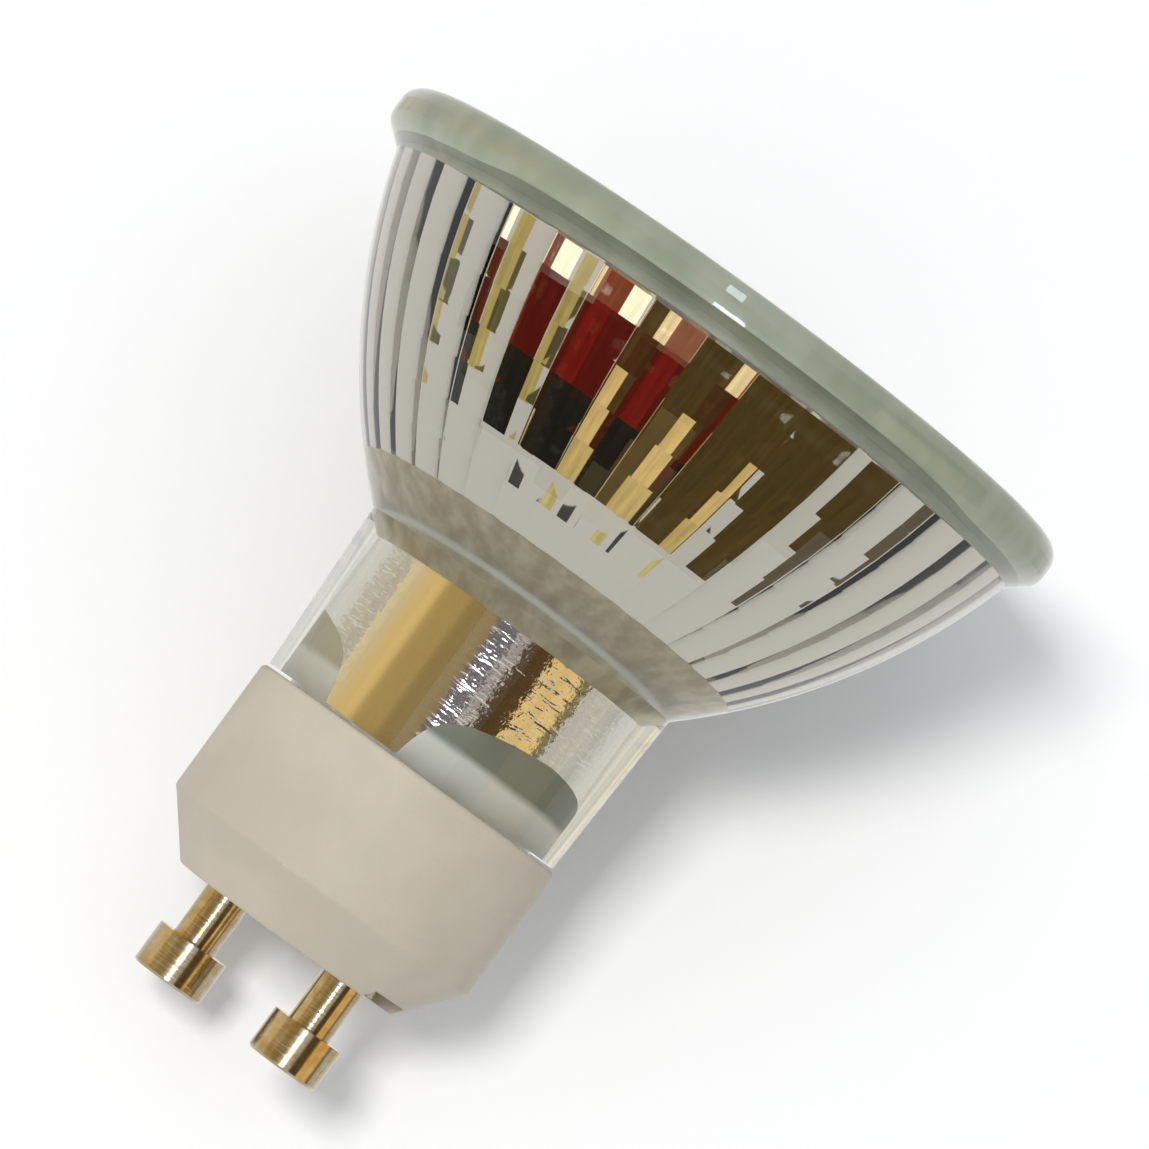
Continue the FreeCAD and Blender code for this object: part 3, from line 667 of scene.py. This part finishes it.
class LAMP_OT_reflector_glass(bpy.types.Operator):
    """Adds the pressed glass reflector: bead, bowl with facets inside, floor plate and neck"""
    bl_idname = "lamp.reflector_glass"
    bl_label = "Reflector Glass"

    def execute(self, context):
        sizes = context.scene.lamp_glass
        bowl = Bowl(sizes)
        rings = [bowl.round_ring(*place) for place in bowl.outer_profile() + bowl.bore_profile()]
        rings += [bowl.slot_ring(sizes.bore_floor), bowl.slot_ring(sizes.facet_end)]
        rings += reversed(bowl.facet_rings())
        lip = bowl.ridge(0).x + sizes.lip_margin
        rings += [bowl.round_ring(lip, sizes.facet_start), bowl.round_ring(lip, sizes.seat_height)]
        rings += [bowl.round_ring(RIM_RADIUS - sizes.rebate_land, sizes.seat_height)]
        mesh = mesh_from_rings("reflector_glass", rings, closed=True)
        piece_from("reflector_glass", mesh, glass_material(), ["reflector"])
        return {"FINISHED"}


class LAMP_OT_films(bpy.types.Operator):
    """Adds the films in the faces of the glass: mirror on facets and neck, throat, cement and rim bond"""
    bl_idname = "lamp.films"
    bl_label = "Mirror and Films"

    def execute(self, context):
        sizes = context.scene.lamp_glass
        bowl = Bowl(sizes)
        depth = sizes.film_depth
        coat = coating_material()
        self.sheet("facet_coating", bowl.facet_rings(-depth), coat)
        plate = [raised(bowl.facet_ring(sizes.facet_rows), depth), bowl.slot_ring(sizes.facet_end + depth)]
        self.sheet("plate_coating", plate, coat)
        self.sheet("throat_film", self.throat(bowl, sizes), throat_material())
        borders = [self.border(sizes, angle) for angle in bowl.angles]
        feet = [sizes.bore_floor + sizes.bore_fillet] * len(borders)
        caps = [CAP_START + depth] * len(borders)
        self.sheet("neck_coating", self.neck(bowl, sizes, feet, borders, levels=30), coat)
        haze = self.neck(bowl, sizes, borders, caps, levels=12)
        self.sheet("neck_cement_face", haze, contact_material(), "cement")
        self.sheet("rim_bond_face", self.rim(bowl, sizes), rim_material(), "clear_bond")
        return {"FINISHED"}

    @staticmethod
    def sheet(name, rings, material, slot="mirror_glass"):
        """Film over rings."""
        piece_from(name, mesh_from_rings(name, rings, closed=False), material)

    @staticmethod
    def neck(bowl, sizes, lows, tops, levels):
        """Rings on the bore's wall between a low and a top height for each angle."""
        radius = sizes.neck_bore + sizes.film_depth
        return [[bowl.point(radius, low + (top - low) * level / levels, angle)
                 for angle, low, top in zip(bowl.angles, lows, tops)] for level in range(levels + 1)]

    @staticmethod
    def throat(bowl, sizes):
        """From the end of the facets to the neck's bore, with a crease half way."""
        depth = sizes.film_depth
        start = raised(bowl.facet_ring(sizes.facet_rows, -depth), 2 * depth)
        crease = (sizes.throat_radius, sizes.throat_height)
        top = (sizes.neck_bore + depth, sizes.bore_floor + sizes.bore_fillet)
        facets_end = (bowl.ridge(sizes.facet_rows).x, sizes.facet_end)
        profile = straight_profile(facets_end, crease, steps=8)[1:]
        profile += straight_profile(crease, top, steps=8) + [top]
        return [start] + [bowl.round_ring(*place) for place in profile]

    @staticmethod
    def rim(bowl, sizes):
        """Wall, seat and lip of the rebate, up to the first facets."""
        depth = sizes.film_depth
        wall = RIM_RADIUS - sizes.rebate_land + depth
        lip = bowl.ridge(0).x + sizes.lip_margin + depth
        seat = sizes.seat_height + depth
        profile = [(wall, sizes.bond_start), (wall, seat), (lip, seat), (lip, sizes.facet_start + depth)]
        return [bowl.round_ring(*place) for place in profile] + [raised(bowl.facet_ring(0, -depth), depth)]

    @staticmethod
    def border(sizes, angle):
        """Where the mirror ends in the neck: at the cap on the wide sides of the pinch, lower elsewhere."""
        beside = abs(math.remainder(angle - sizes.tongue_middle, math.pi)) - sizes.tongue_half
        beside = max(beside, 0.0)
        edge = (sizes.neck_end_height - sizes.coat_shoulder) * math.exp(-beside / sizes.tongue_edge)
        slope = (sizes.coat_shoulder - sizes.coat_border) * math.exp(-beside / sizes.tongue_slope)
        return sizes.coat_border + edge + slope


class LAMP_OT_filament(bpy.types.Operator):
    """Adds the coiled filament on its arch"""
    bl_idname = "lamp.filament"
    bl_label = "Filament"

    def execute(self, context):
        sizes = context.scene.lamp_filament
        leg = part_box("filament")[1].z - sizes.arch_centre
        total = 2 * leg + math.pi * sizes.arch_radius
        per_turn = 12
        steps = int(total / sizes.coil_pitch * per_turn)
        rings = []
        for index in range(steps + 1):
            way = sizes.wire_radius + (total - 2 * sizes.wire_radius) * index / steps
            rings.append(self.wire_ring(sizes, way, leg, index * 2 * math.pi / per_turn))
        mesh = mesh_from_rings("filament_coil", rings, closed=False)
        tungsten = metal_material("tungsten", (0.3, 0.3, 0.31), 0.35, score=0.1)
        piece_from("filament_coil", mesh, tungsten, ["filament"])
        return {"FINISHED"}

    @staticmethod
    def wire_ring(sizes, way, leg, spin):
        """Section of the wire at a way along the coil, turned by spin about the coil's axis."""
        arch = math.pi * sizes.arch_radius
        bend = min(max((way - leg) / sizes.arch_radius, 0.0), math.pi)
        rise = min(way, leg) - max(way - leg - arch, 0.0)
        spot = Vector((-sizes.arch_radius * math.cos(bend), 0,
                       sizes.arch_centre + leg - rise - sizes.arch_radius * math.sin(bend)))
        outward = Vector((-math.cos(bend), 0, -math.sin(bend)))
        aside = Vector((0, 1, 0))
        out = outward * math.cos(spin) + aside * math.sin(spin)
        forward = Vector((math.sin(bend), 0, -math.cos(bend)))
        centre = spot + out * sizes.coil_radius
        sides = 6
        return [tuple(centre + sizes.wire_radius * (out * math.cos(side) + forward * math.sin(side)))
                for side in (2 * math.pi * index / sides for index in range(sides))]


class LAMP_OT_glassware(bpy.types.Operator):
    """Dresses the cover glass, its bond and the quartz capsule"""
    bl_idname = "lamp.glassware"
    bl_label = "Cover Glass and Capsule"

    def execute(self, context):
        dress(cover_material(), "front_lens")
        dress(bond_material(), "lens_adhesive")
        dress(quartz_material(), "capsule_glass")
        return {"FINISHED"}


class LAMP_OT_cap(bpy.types.Operator):
    """Dresses the ceramic cap, the cement and the contact pins"""
    bl_idname = "lamp.cap"
    bl_label = "Cap and Pins"

    def execute(self, context):
        dress(ceramic_material(), "ceramic_base")
        dress(cement_material(), "base_cement", "capsule_cement")
        dress(pin_material(), "contact_pin_left", "contact_pin_right")
        dress(solder_material(), "pin_solder_left", "pin_solder_right")
        return {"FINISHED"}


class LAMP_OT_wiring(bpy.types.Operator):
    """Dresses the leads, foils, support, sleeve and fuse"""
    bl_idname = "lamp.wiring"
    bl_label = "Wiring"

    def execute(self, context):
        dress(metal_material("molybdenum", (0.5, 0.5, 0.52), 0.25),
              "foil_left", "foil_right", "inner_lead_left", "inner_lead_right", "filament_support")
        dress(metal_material("nickel_wire", (0.62, 0.61, 0.58), 0.2),
              "outer_lead_left", "outer_lead_right", "fuse_lead")
        dress(sleeve_material(), "lead_sleeve")
        dress(fuse_material(), "fuse")
        return {"FINISHED"}


def camera_axes(studio):
    """Place of the camera, point that it looks at and its right and up directions."""
    azimuth = studio.camera_azimuth
    towards = Vector((math.cos(azimuth), math.sin(azimuth), 0))
    beside = Vector((math.sin(azimuth), -math.cos(azimuth), 0))
    place = towards * studio.camera_distance + Vector((0, 0, studio.camera_height))
    aim = Vector((0, 0, studio.aim_height)) + beside * studio.aim_side
    forward = (aim - place).normalized()
    pins_up = (Vector((0, 0, 1)) - forward * forward.z).normalized()
    pins_right = forward.cross(pins_up)
    right = math.sin(studio.axis_angle) * pins_right + math.cos(studio.axis_angle) * pins_up
    up = math.sin(studio.axis_angle) * pins_up - math.cos(studio.axis_angle) * pins_right
    return place, aim, right, up


def looking(place, right, up):
    """Matrix of a camera at a place, with its right and up directions."""
    back = right.cross(up)
    return Matrix.Translation(place) @ Matrix((right, up, back)).transposed().to_4x4()


def stage_sheet(name, corners, faces, material):
    """Sheet that belongs to the stage and not to the lamp."""
    mesh = bpy.data.meshes.new(name)
    mesh.from_pydata(corners, [], faces)
    sheet = bpy.data.objects.new(name, mesh)
    bpy.context.scene.collection.objects.link(sheet)
    mesh.materials.append(material)
    return sheet


def paper_material(paper):
    """White paper that shows on its lit side only, so it hides nothing from behind."""
    make = Finish("paper")
    grain = make.noise(0.5, detail=2.0)
    matte = make.root.make("ShaderNodeBsdfDiffuse", inputs={
        "Color": rgba(paper), "Normal": make.bump(grain, 0.01)})
    clear = make.root.make("ShaderNodeBsdfTransparent")
    behind = make.root.make("ShaderNodeNewGeometry", out="Backfacing")
    return make.shaded(make.root.make("ShaderNodeMixShader", inputs={0: behind, 1: matte, 2: clear}))


def card_material(name, tint):
    """Glowing card whose tone wavers like cloth."""
    make = Finish("card_" + name)
    folds = make.noise(90, detail=3.0, stretch=(1, 1, 4))
    cloth = folds.blend(scaled(tint, 0.5), scaled(tint, 1.5))
    return make.shaded(make.root.make("ShaderNodeEmission", inputs={"Color": cloth}))


class LAMP_OT_stage(bpy.types.Operator):
    """Adds the camera, the paper, the surroundings, the cards and the soft light"""
    bl_idname = "lamp.stage"
    bl_label = "Stage"

    def execute(self, context):
        studio = context.scene.lamp_studio
        self.camera(context, studio)
        self.paper(studio)
        self.surroundings(context, studio)
        for index, card in enumerate(CARDS):
            self.card(studio, studio.card_distance - index * CARD_GAP, *card)
        self.key_light(context, studio)
        context.scene.view_settings.view_transform = "Standard"
        return {"FINISHED"}

    @staticmethod
    def camera(context, studio):
        """Camera of the photograph's view."""
        place, aim, right, up = camera_axes(studio)
        data = bpy.data.cameras.new("camera")
        data.lens = data.sensor_width * (aim - place).length / studio.frame_width
        data.clip_start = NEAREST_SEEN
        camera = bpy.data.objects.new("camera", data)
        camera.matrix_world = looking(place, right, up)
        context.scene.collection.objects.link(camera)
        context.scene.camera = camera

    @staticmethod
    def paper(studio):
        """Sheet that the lamp lies on: the bead and the cap touch it."""
        azimuth = studio.camera_azimuth
        away = Vector((-math.cos(azimuth), -math.sin(azimuth), 0))
        beside = Vector((-math.sin(azimuth), math.cos(azimuth), 0))
        contact = away * RIM_RADIUS + Vector((0, 0, studio.paper_contact))
        rise = Vector((0, 0, math.cos(studio.paper_tilt))) - away * math.sin(studio.paper_tilt)
        half = studio.paper_size / 2
        middle = contact + rise * studio.paper_middle
        corners = [middle + beside * side * half + rise * lift * half
                   for side, lift in ((-1, -1), (1, -1), (1, 1), (-1, 1))]
        paper = stage_sheet("paper", corners, [(0, 1, 2, 3)], paper_material(studio.paper))
        paper.visible_glossy = False
        paper.visible_transmission = False

    @staticmethod
    def surroundings(context, studio):
        """Pale all round; dull surfaces get it weaker, because the soft light adds the rest."""
        world = bpy.data.worlds.new("surroundings")
        world.use_nodes = True
        world.node_tree.nodes.clear()
        root = Signal(world.node_tree)
        camera, glossy, through = (root.make("ShaderNodeLightPath", out=f"Is {ray} Ray")
                                   for ray in ("Camera", "Glossy", "Transmission"))
        seen = camera.math("MAXIMUM", glossy).math("MAXIMUM", through)
        tint = seen.blend(studio.fill_tint, (studio.seen,) * 3)
        light = root.make("ShaderNodeBackground", inputs={"Color": tint})
        root.make("ShaderNodeOutputWorld", inputs={"Surface": light})
        context.scene.world = world

    @staticmethod
    def card(studio, distance, name, turns, tilts, tint):
        """Sheet far from the lamp that only its bright surfaces show."""
        place, aim = camera_axes(studio)[:2]
        sight = (aim - place).normalized()
        columns = math.ceil((turns[1] - turns[0]) / CARD_FACE)
        rows = math.ceil((tilts[1] - tilts[0]) / CARD_FACE)
        corners = []
        for row in range(rows + 1):
            tilt = math.radians(tilts[0] + (tilts[1] - tilts[0]) * row / rows)
            for column in range(columns + 1):
                beside = math.radians(turns[0] + (turns[1] - turns[0]) * column / columns)
                angle = studio.camera_azimuth + beside
                facing = Vector((math.cos(angle) * math.cos(tilt), math.sin(angle) * math.cos(tilt),
                                 math.sin(tilt)))
                corners.append(sight.reflect(facing) * distance)
        wide = columns + 1
        faces = [(spot, spot + 1, spot + wide + 1, spot + wide)
                 for spot in (row * wide + column for row in range(rows) for column in range(columns))]
        card = stage_sheet("card_" + name, corners, faces, card_material(name, tint))
        card.visible_camera = False
        card.visible_diffuse = False
        card.visible_shadow = False

    @staticmethod
    def key_light(context, studio):
        """Soft light above and left of the camera; mirrors and glass don't show it."""
        aim, right, up = camera_axes(studio)[1:]
        light = bpy.data.lights.new("key_light", "AREA")
        light.size = studio.key_size
        light.energy = studio.key_power
        light.color = studio.key_tint
        away = (up * studio.key_rise - right * studio.key_left + right.cross(up)).normalized()
        turned = away.to_track_quat("Z", "Y").to_matrix().to_4x4()
        lamp = bpy.data.objects.new("key_light", light)
        lamp.matrix_world = Matrix.Translation(aim + away * studio.key_distance) @ turned
        lamp.visible_glossy = False
        lamp.visible_transmission = False
        context.scene.collection.objects.link(lamp)


class LAMP_PT_sidebar(bpy.types.Panel):
    """Lists the pieces and the stage"""
    bl_idname = "LAMP_PT_sidebar"
    bl_label = "Reflector Lamp"
    bl_space_type = "VIEW_3D"
    bl_region_type = "UI"
    bl_category = "Lamp"

    def draw(self, context):
        for step in STEPS:
            self.layout.operator(step.bl_idname)


GROUPS = {
    "lamp_glass": LampGlass,
    "lamp_filament": LampFilament,
    "lamp_finish": LampFinish,
    "lamp_studio": LampStudio,
}
STEPS = [LAMP_OT_stage, LAMP_OT_reflector_glass, LAMP_OT_films, LAMP_OT_filament, LAMP_OT_glassware,
         LAMP_OT_cap, LAMP_OT_wiring]


def register():
    """Adds the classes to Blender and their settings to the scene."""
    for kind in [*GROUPS.values(), *STEPS, LAMP_PT_sidebar]:
        bpy.utils.register_class(kind)
    for name, group in GROUPS.items():
        setattr(bpy.types.Scene, name, bpy.props.PointerProperty(type=group))


def unregister():
    """Takes back what register adds."""
    for name in GROUPS:
        delattr(bpy.types.Scene, name)
    for kind in reversed([*GROUPS.values(), *STEPS, LAMP_PT_sidebar]):
        bpy.utils.unregister_class(kind)


def main():
    """Registers the classes, then builds every piece and the stage."""
    register()
    for step in STEPS:
        group, name = step.bl_idname.split(".")
        getattr(getattr(bpy.ops, group), name)()


if __name__ == "__main__":
    main()
